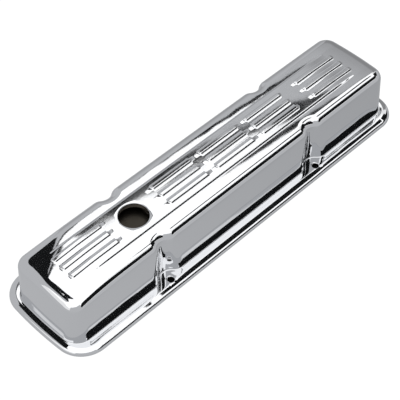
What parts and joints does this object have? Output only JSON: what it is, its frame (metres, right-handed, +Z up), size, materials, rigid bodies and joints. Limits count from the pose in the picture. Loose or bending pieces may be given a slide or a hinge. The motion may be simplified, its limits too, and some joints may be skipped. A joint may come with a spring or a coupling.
{
  "type": "engine valve cover",
  "caption": "Long drawn-steel cover for one bank of engine valve gear: flanged, pinched beside its bolts, ribbed crown with a breather hole and an oil baffle inside.",
  "frame": {"origin": "centre of the cover's footprint, on the gasket plane at the bottom of the flange lip", "axes": "+X along the length, away from the breather-hole end; +Y across the cover; +Z up, out of the crown"},
  "size_m": [0.48, 0.125, 0.0634],
  "materials": {
    "chrome_steel": "bright chromium plate on polished drawn steel",
    "bare_steel": "dull rolled steel, oiled"
  },
  "bodies": {
    "root": {"cover_shell": "chrome_steel", "oil_baffle": "bare_steel"}
  },
  "joints": []
}
